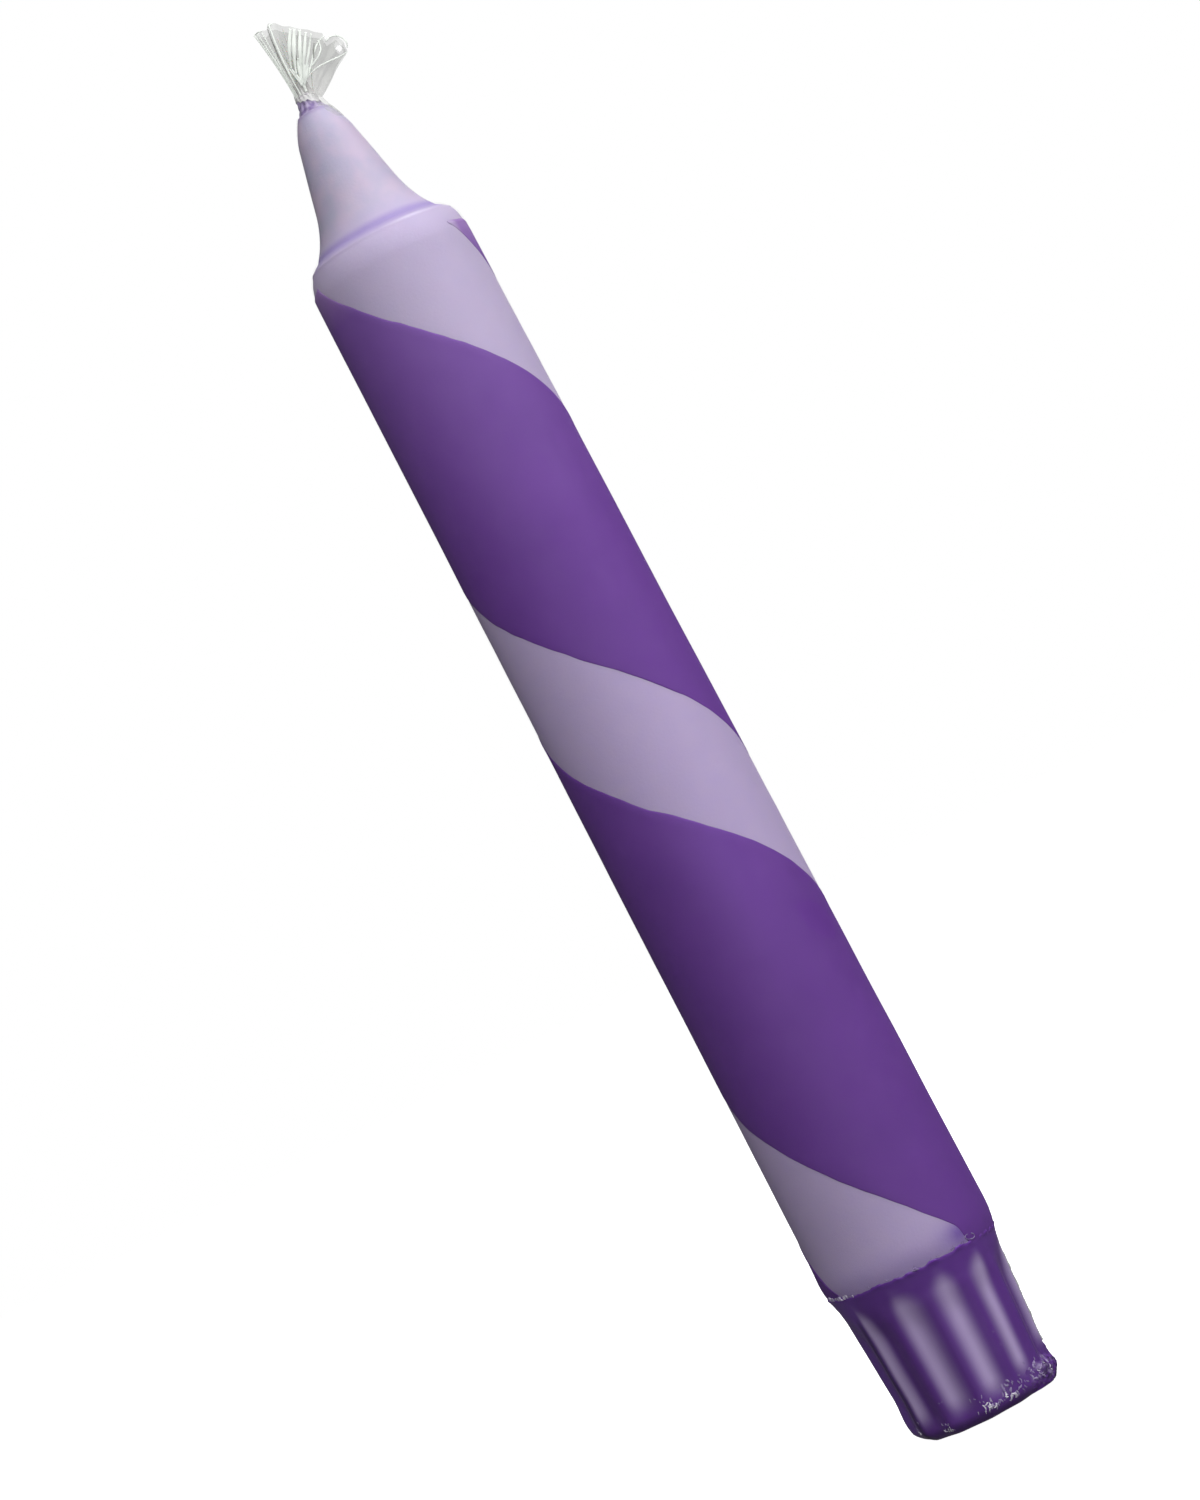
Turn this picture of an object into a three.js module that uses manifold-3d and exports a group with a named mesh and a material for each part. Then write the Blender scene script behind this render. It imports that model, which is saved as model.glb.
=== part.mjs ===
// Tapered dinner candle with a two-colour spiral, a fluted foot and a clear film wrap.
// Millimetres, +Z up, origin at the centre of the base, the photographed side towards -Y.

import * as THREE from 'three';
import Module from 'manifold-3d';

const wasm = await Module();
wasm.setup();

// Wax column, measured on the wax under its coat and film
const candleHeight = 180;
const bodyTopDiameter = 20.7;
const bodyBottomDiameter = 22.24;
const footTopDiameter = 20.28;
const footBaseDiameter = 18.4;
const footHeight = 16.75;
const footShoulderHeight = 6.45;
const baseRound = 1.6;

// Milled tip, from the wick down
const tipTopDiameter = 4.1;
const noseDiameter = 7.44;
const noseHeight = 3.8;
const coneDiameter = 11;
const coneHeight = 7.8;
const creaseDiameter = 17;
const flareHeight = 5.95;
const shoulderHeight = 4.45;

// Bends of the outline, each by two pulls given as shares of the way out and of the way down
const noseBend = [[0.35, 0.25], [0.8, 0.62]];
const flareBend = [[0.14, 0.33], [0.54, 0.8]];
const shoulderBend = [[0.45, 0.13], [0.95, 0.45]];
const footShoulderBend = [[0, 0.5], [0.87, 0.69]];

// Flutes round the foot: they start above its top, and get shallower towards the base
const fluteCount = 12;
const fluteDepth = 0.9;
const fluteBaseDepth = 0.36;
const fluteFade = 3.5;
const fluteSharpness = 0.7;
const fluteRise = 1.5;
const fluteRunOut = 3.4;
const fluteTurn = 12.6;

// Dark purple coat
const coatGap = 0.05;
const coatThickness = 0.2;
const coatTopDrop = 20.6;
const dipLine = 20.5;
const dipLineGap = 0.1;

// Spiral stripe: the coat's upper edge falls by one lead in each turn
const upperEdgeAtFront = 147.8;
const spiralLead = 66.4;
const stripeHeight = 20.4;
const upperEdgeStretch = 6;
const lowerEdgeStretch = 5.3;

// Twisted cotton wick
const plyCount = 3;
const plyDiameter = 0.72;
const plyGap = 0.08;
const twistPitch = 36;
const boreClearance = 0.1;
const wickInset = 4.9;
const wickLean = 15;
const wickBendRadius = 8;

// Waxed collar round the wick
const collarHeight = 2.35;
const collarBaseDiameter = 4;
const collarTopDiameter = 2.6;
const collarFlare = 2.2;
const collarFolds = 7;
const collarCrinkle = 0.06;
const collarGap = 0.05;

// Clear film
const filmThickness = 0.08;
const filmGap = 0.08;
const filmFloor = 0.15;
const tailTurn = 65;
const tailBulge = 0.6;
const tailHeight = 4.2;
const tailSpread = 20;

// Gathered end of the film: its folds are given from the right edge of the fan to the left, each by its
// lean from upright towards +X in degrees and its share of the tuft's length
const tuftLength = 10.3;
const tuftFolds = [
  [72, 0.6],
  [69.5, 0.75],
  [63, 0.82],
  [52.5, 0.84],
  [47, 0.73],
  [42.5, 0.8],
  [31, 0.81],
  [23, 0.83],
  [15, 0.87],
  [5.5, 0.98],
  [1, 1],
  [-11.5, 1],
];
const tuftRise = 1.9;
const tuftSkirt = 1.6;
const tuftThroatDrop = 0.4;
const tuftThickness = 0.14;
const tuftGap = 0.12;
const tuftDepth = 3.6;
const tuftPleatDepth = 0.2;
const tuftBow = 0.35;

// Faces round the candle, with an edge of the wax on each ridge between two flutes, and down its outline
const stepsPerFlute = 4;
const columns = fluteCount * stepsPerFlute;
const bendSteps = 3;
const roundSteps = 3;
const mitreLimit = 2;

const radians = THREE.MathUtils.degToRad;
const baseLevel = coatGap + coatThickness;
const coatTop = candleHeight - coatTopDrop;
const creaseLevel = candleHeight - noseHeight - coneHeight - flareHeight;
const bodyTopLevel = creaseLevel - shoulderHeight;
const footTopLevel = baseLevel + footHeight;
const ridgeTurn = radians(fluteTurn + 180 / fluteCount);
const tuftOrigin = candleHeight + tuftRise;
const wickLength = tuftOrigin + tuftLength - wickInset;

// Signed volume of triangles, positive when they face out
function volumeOf(vertices, triangles) {
  const cross = new THREE.Vector3();
  let sum = 0;
  for (const [a, b, c] of triangles) {
    cross.crossVectors(vertices[b], vertices[c]);
    sum += vertices[a].dot(cross) / 6;
  }
  return sum;
}

function geometryFrom(vertices, triangles) {
  if (volumeOf(vertices, triangles) < 0) {
    triangles.forEach((triangle) => triangle.reverse());
  }
  const geometry = new THREE.BufferGeometry();
  geometry.setFromPoints(vertices);
  geometry.setIndex(triangles.flat());
  geometry.computeVertexNormals();
  return geometry;
}

// Solid through rings of equal count: looped back on its first ring, or closed by a fan at each end.
// Each four-sided face is split along its shorter diagonal.
function loft(rings, looped) {
  const count = rings[0].length;
  const vertices = rings.flat();
  const triangles = [];
  const bands = looped ? rings.length : rings.length - 1;
  for (let i = 0; i < bands; i++) {
    const near = i * count;
    const far = ((i + 1) % rings.length) * count;
    for (let k = 0; k < count; k++) {
      const next = (k + 1) % count;
      const [a, b, c, d] = [near + k, near + next, far + next, far + k];
      const shorter = vertices[a].distanceTo(vertices[c]) <= vertices[b].distanceTo(vertices[d]);
      triangles.push(...(shorter ? [[a, b, c], [a, c, d]] : [[a, b, d], [b, c, d]]));
    }
  }
  if (!looped) {
    for (const [ring, turned] of [[0, true], [rings.length - 1, false]]) {
      const centre = new THREE.Vector3();
      rings[ring].forEach((point) => centre.addScaledVector(point, 1 / count));
      const hub = vertices.push(centre) - 1;
      for (let k = 0; k < count; k++) {
        const edge = [ring * count + k, ring * count + ((k + 1) % count)];
        triangles.push(turned ? [hub, edge[1], edge[0]] : [hub, edge[0], edge[1]]);
      }
    }
  }
  return geometryFrom(vertices, triangles);
}

// Point on the candle; the angle runs from the front, -Y, towards +X
function pointAt(radius, angle, z) {
  return new THREE.Vector3(radius * Math.sin(angle), -radius * Math.cos(angle), z);
}

function columnAngle(step, count) {
  return ridgeTurn + (2 * Math.PI * step) / count;
}

function ringAt(z, count, radiusAt) {
  const ring = [];
  for (let k = 0; k < count; k++) {
    const angle = columnAngle(k, count);
    ring.push(pointAt(radiusAt(angle), angle, z));
  }
  return ring;
}

// Outline of the wax from the wick down to the base, as points (radius, height)
function waxOutline() {
  const point = (diameter, height) => new THREE.Vector2(diameter / 2, height);
  const tip = point(tipTopDiameter, candleHeight);
  const nose = point(noseDiameter, candleHeight - noseHeight);
  const cone = point(coneDiameter, nose.y - coneHeight);
  const crease = point(creaseDiameter, creaseLevel);
  const bodyTop = point(bodyTopDiameter, bodyTopLevel);
  const bodyBottom = point(bodyBottomDiameter, footTopLevel + footShoulderHeight);
  const footTop = point(footTopDiameter, footTopLevel);
  const footBase = point(footBaseDiameter, baseLevel + baseRound);
  const points = [tip];

  const between = (a, b, u, v) => {
    return new THREE.Vector2(a.x + (b.x - a.x) * u, a.y + (b.y - a.y) * v);
  };
  const bend = (a, b, [first, second]) => {
    const curve = new THREE.CubicBezierCurve(a, between(a, b, ...first), between(a, b, ...second), b);
    points.push(...curve.getPoints(bendSteps).slice(1));
  };

  bend(tip, nose, noseBend);
  points.push(cone);
  bend(cone, crease, flareBend);
  bend(crease, bodyTop, shoulderBend);
  points.push(bodyBottom);
  bend(bodyBottom, footTop, footShoulderBend);
  const fluteLevels = [footTop.y + fluteRise - fluteRunOut, baseLevel + fluteFade];
  for (const level of [(footTop.y + fluteLevels[0]) / 2, ...fluteLevels]) {
    const share = (footTop.y - level) / (footTop.y - footBase.y);
    points.push(between(footTop, footBase, share, share));
  }
  points.push(footBase);
  for (let step = 1; step <= roundSteps; step++) {
    const angle = (Math.PI / 2) * (step / roundSteps);
    const turned = new THREE.Vector2(Math.cos(angle) - 1, -Math.sin(angle));
    points.push(footBase.clone().addScaledVector(turned, baseRound));
  }
  return points;
}

// The same outline moved outwards, square to itself, by the distance that offsetAt gives at each height.
// Each point keeps the wax's own height as its level, where its flutes are measured.
function offsetOutline(points, offsetAt) {
  const side = (a, b) => new THREE.Vector2(a.y - b.y, b.x - a.x).normalize();
  return points.map((point, i) => {
    const before = i > 0 ? side(points[i - 1], point) : side(point, points[i + 1]);
    const after = i < points.length - 1 ? side(point, points[i + 1]) : new THREE.Vector2(0, -1);
    const mitre = before.clone().add(after).normalize();
    const reach = offsetAt(point.y) * Math.min(1 / mitre.dot(after), mitreLimit);
    const moved = point.clone().addScaledVector(mitre, reach);
    moved.level = point.y;
    return moved;
  });
}

// Part of an outline between two heights, top first
function sliceOutline(points, top, bottom) {
  const cut = (a, b, z) => new THREE.Vector2().lerpVectors(a, b, (z - a.y) / (b.y - a.y));
  const kept = [];
  for (let i = 0; i < points.length - 1; i++) {
    const [a, b] = [points[i], points[i + 1]];
    if (a.y > top && b.y <= top) kept.push(cut(a, b, top));
    if (a.y <= top && a.y >= bottom) kept.push(a);
    if (a.y > bottom && b.y < bottom) kept.push(cut(a, b, bottom));
  }
  const last = points[points.length - 1];
  if (last.y >= bottom) kept.push(last);
  return kept;
}

const wax = waxOutline();
const coatInside = offsetOutline(wax, () => coatGap);
const coatOutside = offsetOutline(wax, () => coatGap + coatThickness);

// How far a flute cuts in at a height and an angle
function fluteCut(z, angle) {
  const full = THREE.MathUtils.smoothstep(z, baseLevel, baseLevel + fluteFade);
  const started = THREE.MathUtils.smoothstep(footTopLevel + fluteRise - z, 0, fluteRunOut);
  const depth = THREE.MathUtils.lerp(fluteBaseDepth, fluteDepth, full) * started;
  const wave = 0.5 + 0.5 * Math.cos(fluteCount * (angle - radians(fluteTurn)));
  return depth * wave ** fluteSharpness;
}

function flutedRing(point) {
  return ringAt(point.y, columns, (angle) => point.x - fluteCut(point.level ?? point.y, angle));
}

const bore = plyDiameter / 2 + (plyDiameter + plyGap) / Math.sqrt(3) + boreClearance;

function waxBody() {
  const rings = wax.map(flutedRing);
  rings.push(ringAt(baseLevel, columns, () => bore));
  rings.push(ringAt(candleHeight, columns, () => bore));
  return loft(rings, true);
}

function solidFrom(geometry) {
  const mesh = new wasm.Mesh({
    numProp: 3,
    vertProperties: new Float32Array(geometry.getAttribute('position').array),
    triVerts: new Uint32Array(geometry.getIndex().array),
  });
  return new wasm.Manifold(mesh);
}

function geometryOf(solid) {
  const mesh = solid.getMesh();
  const geometry = new THREE.BufferGeometry();
  geometry.setAttribute('position', new THREE.BufferAttribute(mesh.vertProperties, 3));
  geometry.setIndex(new THREE.BufferAttribute(mesh.triVerts, 1));
  geometry.computeVertexNormals();
  return geometry;
}

// Heights of the dark band's edges after a number of turns from the front
function upperEdge(turns) {
  return upperEdgeAtFront - spiralLead * turns - upperEdgeStretch * Math.max(0, turns - 1) ** 2;
}

function lowerEdge(turns) {
  const bandHeight = spiralLead - stripeHeight;
  return upperEdgeAtFront - bandHeight - spiralLead * turns - lowerEdgeStretch * Math.max(0, turns) ** 2;
}

// Helical blade that is wider than the coat and as tall as the dark band
function spiralBlade() {
  const inner = creaseDiameter / 4;
  const outer = bodyBottomDiameter;
  const rings = [];
  const turnsAt = (step) => columnAngle(step, columns) / (2 * Math.PI);
  let step = 0;
  while (lowerEdge(turnsAt(step)) < coatTop) step--;
  do {
    const angle = columnAngle(step, columns);
    const [low, high] = [lowerEdge(turnsAt(step)), upperEdge(turnsAt(step))];
    rings.push([
      pointAt(inner, angle, low),
      pointAt(outer, angle, low),
      pointAt(outer, angle, high),
      pointAt(inner, angle, high),
    ]);
    step++;
  } while (upperEdge(turnsAt(step - 1)) > dipLine);
  return loft(rings, false);
}

function spiralCoat() {
  const bottom = dipLine + dipLineGap;
  const outside = sliceOutline(coatOutside, coatTop, bottom);
  const inside = sliceOutline(coatInside, coatTop, bottom).reverse();
  const rings = [...outside, ...inside].map((point) => ringAt(point.y, columns, () => point.x));
  const shell = solidFrom(loft(rings, true));
  return geometryOf(shell.intersect(solidFrom(spiralBlade())));
}

function footCoat() {
  const inside = sliceOutline(coatInside, dipLine, 0).reverse();
  const outside = sliceOutline(coatOutside, dipLine, 0);
  return loft([...inside, ...outside].map(flutedRing), false);
}

// Path of the wick: upright to the top of the collar, then bent over towards +X
function wickFrame(along) {
  const straight = candleHeight + collarGap + collarHeight;
  const over = Math.max(0, along - straight);
  const lean = Math.min(over / wickBendRadius, radians(wickLean));
  const rest = over - lean * wickBendRadius;
  const x = wickBendRadius * (1 - Math.cos(lean)) + rest * Math.sin(lean);
  const z = Math.min(along, straight) + wickBendRadius * Math.sin(lean) + rest * Math.cos(lean);
  return {
    centre: new THREE.Vector3(x, 0, z),
    across: new THREE.Vector3(Math.cos(lean), 0, -Math.sin(lean)),
  };
}

function wickPly(index) {
  const sides = 5;
  const steps = 48;
  const start = baseLevel;
  const lay = (plyDiameter + plyGap) / Math.sqrt(3);
  const depth = new THREE.Vector3(0, 1, 0);
  const rings = [];
  for (let step = 0; step <= steps; step++) {
    const along = start + ((wickLength - start) * step) / steps;
    const { centre, across } = wickFrame(along);
    const twist = (2 * Math.PI * along) / twistPitch + (2 * Math.PI * index) / plyCount;
    const ring = [];
    for (let k = 0; k < sides; k++) {
      const angle = twist + (2 * Math.PI * k) / sides;
      const point = centre.clone();
      point.addScaledVector(across, lay * Math.cos(twist) + (plyDiameter / 2) * Math.cos(angle));
      point.addScaledVector(depth, lay * Math.sin(twist) + (plyDiameter / 2) * Math.sin(angle));
      ring.push(point);
    }
    rings.push(ring);
  }
  return loft(rings, false);
}

function collarRadius(rise) {
  const flare = (1 - rise / collarHeight) ** collarFlare;
  return (collarTopDiameter + (collarBaseDiameter - collarTopDiameter) * flare) / 2;
}

function wickCollar() {
  const seat = candleHeight + collarGap;
  const crinkle = (angle) => 1 - collarCrinkle * (0.5 + 0.5 * Math.cos(collarFolds * angle));
  const rings = [];
  const steps = 4;
  for (let step = 0; step <= steps; step++) {
    const rise = (collarHeight * step) / steps;
    rings.push(ringAt(seat + rise, 4 * collarFolds, (angle) => collarRadius(rise) * crinkle(angle)));
  }
  rings.push(ringAt(seat + collarHeight, 4 * collarFolds, () => bore));
  rings.push(ringAt(seat, 4 * collarFolds, () => bore));
  return loft(rings, true);
}

// Film round the candle: it lies on the coat, and on the bare wax above the coat
function filmOffset(z) {
  const bare = THREE.MathUtils.smoothstep(z, coatTop, coatTop + shoulderHeight);
  return (coatGap + coatThickness) * (1 - bare) + filmGap;
}

// How far the film's tail stands off the wax beside the base: in full over its lower half, less above
function tailAt(z, angle) {
  const facing = Math.cos(angle - radians(tailTurn));
  const across = THREE.MathUtils.smoothstep(facing, Math.cos(radians(tailSpread)), 1);
  const up = Math.max(0, 1 - z / tailHeight);
  return tailBulge * across * Math.min(1, 2 * up);
}

function filmSleeve() {
  const skin = (extra) => {
    const points = offsetOutline(wax, (z) => filmOffset(z) + extra);
    return sliceOutline(points, candleHeight + filmGap + extra, filmFloor).map((point) => {
      return ringAt(point.y, columns, (angle) => {
        return point.x - fluteCut(point.level ?? point.y, angle) + tailAt(point.y, angle);
      });
    });
  };
  return loft([...skin(filmThickness), ...skin(0).reverse()], true);
}

// Tip of the fan's fold at a share of the way from its right edge to its left, seen from the front
function foldTip(share) {
  const place = share * (tuftFolds.length - 1);
  const before = Math.min(Math.floor(place), tuftFolds.length - 2);
  const [lean, part] = [0, 1].map((value) => {
    return THREE.MathUtils.lerp(tuftFolds[before][value], tuftFolds[before + 1][value], place - before);
  });
  return new THREE.Vector2(Math.sin(radians(lean)), Math.cos(radians(lean))).multiplyScalar(part * tuftLength);
}

// Gathered film: it is drawn in over the collar, and fans out above it in pleats to a ragged open edge
function filmTuft() {
  const around = 4 * (tuftFolds.length - 1);
  const steps = 5;
  const neckRadius = (z) => collarRadius(z - candleHeight - collarGap) + tuftGap + tuftThickness;
  const wall = (inset) => {
    const columnsOfPoints = [];
    for (let k = 0; k < around; k++) {
      const turn = (2 * Math.PI * k) / around;
      const facing = new THREE.Vector3(Math.cos(turn), Math.sin(turn), 0);
      const throat = tuftOrigin - tuftThroatDrop * facing.x;
      const column = [tuftOrigin - tuftSkirt, throat].map((z) => {
        return facing.clone().multiplyScalar(neckRadius(z) - inset).setZ(z);
      });
      const tip = foldTip(k <= around / 2 ? (2 * k) / around : 2 - (2 * k) / around);
      const pleat = tuftPleatDepth * (k % 2 === 0 ? 1 : -1) * Math.abs(facing.y);
      const end = new THREE.Vector3(tip.x - inset * facing.x, 0, tuftOrigin + tip.y);
      end.y = (tuftDepth / 2 - inset) * facing.y + pleat;
      for (let step = 1; step <= steps; step++) {
        const point = column[1].clone().lerp(end, step / steps);
        point.z += tuftBow * Math.sin((Math.PI * step) / steps) * Math.max(0, tip.x / tuftLength);
        column.push(point);
      }
      columnsOfPoints.push(column);
    }
    return columnsOfPoints[0].map((_, ring) => columnsOfPoints.map((column) => column[ring]));
  };
  return loft([...wall(0), ...wall(tuftThickness).reverse()], true);
}

const lilacWax = { color: 0xb0a3cc, roughness: 0.45, metalness: 0 };
const purpleWax = { color: 0x5a3a86, roughness: 0.4, metalness: 0 };
const darkWax = { color: 0x4a2a72, roughness: 0.3, metalness: 0 };
const cotton = { color: 0xe6e0d4, roughness: 0.95, metalness: 0 };
const clearFilm = { color: 0xe8ece8, roughness: 0.12, metalness: 0, transparent: true, opacity: 0.25 };

const group = new THREE.Group();

function addPart(name, geometry, finish) {
  const mesh = new THREE.Mesh(geometry, new THREE.MeshStandardMaterial(finish));
  mesh.name = name;
  group.add(mesh);
}

addPart('wax_body', waxBody(), lilacWax);
addPart('spiral_coat', spiralCoat(), purpleWax);
addPart('foot_coat', footCoat(), darkWax);
for (let index = 0; index < plyCount; index++) {
  addPart(`wick_ply_${index + 1}`, wickPly(index), cotton);
}
addPart('wick_collar', wickCollar(), purpleWax);
addPart('film_sleeve', filmSleeve(), clearFilm);
addPart('film_tuft', filmTuft(), clearFilm);

export default group;
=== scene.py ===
import math

import bpy
import numpy as np
from mathutils import Matrix, Vector


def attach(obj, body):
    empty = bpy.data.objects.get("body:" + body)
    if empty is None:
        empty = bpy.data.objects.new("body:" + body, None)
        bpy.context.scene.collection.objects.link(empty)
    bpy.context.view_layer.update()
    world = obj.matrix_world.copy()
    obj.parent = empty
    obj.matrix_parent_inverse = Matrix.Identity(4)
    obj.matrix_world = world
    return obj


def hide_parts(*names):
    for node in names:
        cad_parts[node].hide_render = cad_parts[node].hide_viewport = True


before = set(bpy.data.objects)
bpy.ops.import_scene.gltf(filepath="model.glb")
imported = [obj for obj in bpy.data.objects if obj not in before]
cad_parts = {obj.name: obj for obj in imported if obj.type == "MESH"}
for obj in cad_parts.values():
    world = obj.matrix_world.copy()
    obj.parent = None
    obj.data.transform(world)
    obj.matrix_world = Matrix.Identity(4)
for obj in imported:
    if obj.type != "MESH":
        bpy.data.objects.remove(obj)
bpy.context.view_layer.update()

# Tapered candle with a two-colour spiral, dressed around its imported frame. Sizes are in millimetres, and MM
# turns them into metres.
MM = 0.001
BODY = "root"


def put(name, data):
    """A new object in the scene."""
    made = bpy.data.objects.new(name, data)
    bpy.context.scene.collection.objects.link(made)
    return made


# Camera at the photographed angle, rolled so that the candle leans to the upper left
LENS = 97.6
CAMERA_DISTANCE = 500.4
CAMERA_TARGET = Vector((-4.94, 0, 93.5))
LOOK_UP = math.radians(2.27)
ROLL = math.radians(27.526)


def add_camera():
    forward = Vector((0, math.cos(LOOK_UP), math.sin(LOOK_UP)))
    rise = Vector((0, -math.sin(LOOK_UP), math.cos(LOOK_UP)))
    side = Vector((1, 0, 0))
    right = side * math.cos(ROLL) - rise * math.sin(ROLL)
    up = side * math.sin(ROLL) + rise * math.cos(ROLL)
    data = bpy.data.cameras.new("camera")
    data.lens = LENS
    data.clip_start = 0.01
    camera = put("camera", data)
    camera.matrix_world = Matrix((right, up, -forward)).transposed().to_4x4()
    camera.matrix_world.translation = (CAMERA_TARGET - forward * CAMERA_DISTANCE) * MM
    bpy.context.scene.camera = camera


add_camera()


# Sizes of the candle, as in the part's source. Outline points are a radius and a height.
CANDLE_HEIGHT = 180.0
TIP_TOP_R = 2.05
NOSE = (3.72, 176.2)
CONE = (5.5, 168.4)
CREASE = (8.5, 162.45)
BODY_TOP = (10.35, 158.0)
BODY_BOTTOM = (11.12, 23.45)
FOOT_TOP = (10.14, 17.0)
FOOT_BASE_R = 9.2
BASE_ROUND = 1.6
COAT_GAP = 0.05
COAT = 0.2
BASE_LEVEL = COAT_GAP + COAT
COAT_TOP = 159.4
DIP_LINE = 20.5
UPPER_EDGE_AT_FRONT = 147.8
LOWER_EDGE_AT_FRONT = 101.8
SPIRAL_LEAD = 66.4
UPPER_EDGE_STRETCH = 6.0
LOWER_EDGE_STRETCH = 5.3
FLUTES = 12
FLUTE_TURN = math.radians(12.6)
FILM_GAP = 0.08
FILM = 0.08
COLLAR_HEIGHT = 2.35
COLLAR_FLARE = 2.2
TWIST_PITCH = 36
WICK_BEND_RADIUS = 8

# Sizes that the dressing sets for itself
COAT_LIFT = 0.29
STRIPE_LIFT = 0.24
TIP_LIFT = 0.05
DIP_TILT = 0.45
DIP_RADIUS = 10.9
FLUTE_DEPTH = 0.7
FLUTE_SHARPNESS = 0.8
FLUTE_TOP = 18.5
FLUTE_RUN_OUT = 5.0
FLUTE_FADE = 3.5
FLUTE_BASE_SHARE = 0.4
STREAK_TOP = 19.4
FILM_FLOOR = 0.18
BORE_RADIUS = 0.9
COLLAR_RADIUS = 1.22
COLLAR_SPREAD = 0.8
COLLAR_SINK = 0.15
COLLAR_BORE_RADIUS = 0.88
PLY_RADIUS = 0.36
PLY_APART = 0.46
WICK_START = 0.3
WICK_TOP = 187.2
WICK_STRAIGHT = CANDLE_HEIGHT + 2.45
WICK_LEAN = math.radians(18)
FRAY_START = 182.5

# The turn in degrees and the height of the stain on the stripe
STAIN = (36, 21.9)

# Points in a turn, and a round radius for ripples and for lengths round the foot
TURN_STEPS = 240
MEAN_RADIUS = 10.0


def bend(a, b, first, second, steps):
    """Points of a curve from a to b, without a, pulled by two points given as shares of the way."""
    t = np.linspace(0, 1, steps + 1)[1:, None]
    a, b = np.array(a), np.array(b)
    c = a + (b - a) * np.array(first)
    d = a + (b - a) * np.array(second)
    return (1 - t) ** 3 * a + 3 * (1 - t) ** 2 * t * c + 3 * (1 - t) * t**2 * d + t**3 * b


def line(a, b, steps):
    return bend(a, b, (1 / 3, 1 / 3), (2 / 3, 2 / 3), steps)


def wax_outline():
    """Outline of the wax as rows of radius and height, from the wick down to the base."""
    tip = (TIP_TOP_R, CANDLE_HEIGHT)
    foot_base = (FOOT_BASE_R, BASE_LEVEL + BASE_ROUND)
    turn = np.linspace(0, math.pi / 2, 11)[1:, None]
    base_radius = foot_base[0] + BASE_ROUND * (np.cos(turn) - 1)
    base_round = np.hstack([base_radius, foot_base[1] - BASE_ROUND * np.sin(turn)])
    return np.vstack([
        [tip],
        bend(tip, NOSE, (0.35, 0.25), (0.8, 0.62), 16),
        line(NOSE, CONE, 10),
        bend(CONE, CREASE, (0.14, 0.33), (0.54, 0.8), 22),
        bend(CREASE, BODY_TOP, (0.45, 0.13), (0.95, 0.45), 26),
        line(BODY_TOP, BODY_BOTTOM, 90),
        bend(BODY_BOTTOM, FOOT_TOP, (0, 0.5), (0.87, 0.69), 26),
        line(FOOT_TOP, foot_base, 30),
        base_round,
    ])


def offset(outline, distance):
    """The outline moved square to itself by a distance, or by one distance a point."""
    along = np.gradient(outline, axis=0)
    along /= np.linalg.norm(along, axis=1)[:, None]
    normal = np.column_stack([-along[:, 1], along[:, 0]])
    return outline + normal * np.reshape(distance, (-1, 1))


WAX = wax_outline()


def radius_on(outline, z):
    """Radius of an outline at each height."""
    return np.interp(z, outline[::-1, 1], outline[::-1, 0])


def flute_wave(angle):
    """1 in the middle of each flute, and 0 on the ridges between them."""
    return 0.5 + 0.5 * np.cos(FLUTES * (angle - FLUTE_TURN))


def smooth(value):
    """A soft step, 0 below 0 and 1 above 1."""
    value = np.clip(value, 0, 1)
    return value**2 * (3 - 2 * value)


def flute_cut(z, angle):
    """Depth of the flutes, which run out at the top and grow shallow towards the base."""
    shallow = FLUTE_BASE_SHARE + (1 - FLUTE_BASE_SHARE) * smooth(z / FLUTE_FADE)
    below = smooth((FLUTE_TOP - z) / FLUTE_RUN_OUT) * shallow
    return FLUTE_DEPTH * below * flute_wave(angle) ** FLUTE_SHARPNESS


def on_candle(radius, angle, z):
    """Points at a radius, an angle from the front towards +X, and a height."""
    radius, angle, z = np.broadcast_arrays(radius, angle, z)
    return np.stack([radius * np.sin(angle), -radius * np.cos(angle), z], axis=-1)


def ripple(points, length, seed, waves=7):
    """Smooth even noise of about -1 to 1 whose bumps are about this many millimetres long."""
    draw = np.random.RandomState(seed)
    total = np.zeros(points.shape[:-1])
    for _ in range(waves):
        direction = draw.normal(size=3)
        direction *= 2 * math.pi / (length * draw.uniform(0.7, 1.5) * np.linalg.norm(direction))
        total += np.sin(points @ direction + draw.uniform(0, 2 * math.pi))
    return total / math.sqrt(waves)


def uneven(z, angle, length, seed):
    """Ripple over the candle's surface."""
    return ripple(on_candle(MEAN_RADIUS, angle, z), length, seed)


# Mesh helpers
def make_object(name, vertices, faces, material, node_slot, rounded=True):
    mesh = bpy.data.meshes.new(name)
    mesh.from_pydata((np.reshape(vertices, (-1, 3)) * MM).tolist(), [], faces)
    mesh.validate()
    mesh.polygons.foreach_set("use_smooth", [rounded] * len(mesh.polygons))
    mesh.materials.append(material)
    piece = put(name, mesh)
    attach(piece, BODY)
    return piece


def grid_faces(rows, columns, wrap_rows=False, wrap_columns=True):
    """Squares between the points of a grid, which may close on itself either way."""
    i = np.arange(rows if wrap_rows else rows - 1)[:, None]
    k = np.arange(columns if wrap_columns else columns - 1)[None, :]
    j, m = (i + 1) % rows, (k + 1) % columns
    quads = np.stack([i * columns + k, i * columns + m, j * columns + m, j * columns + k], axis=-1)
    return quads.reshape(-1, 4).tolist()


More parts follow.
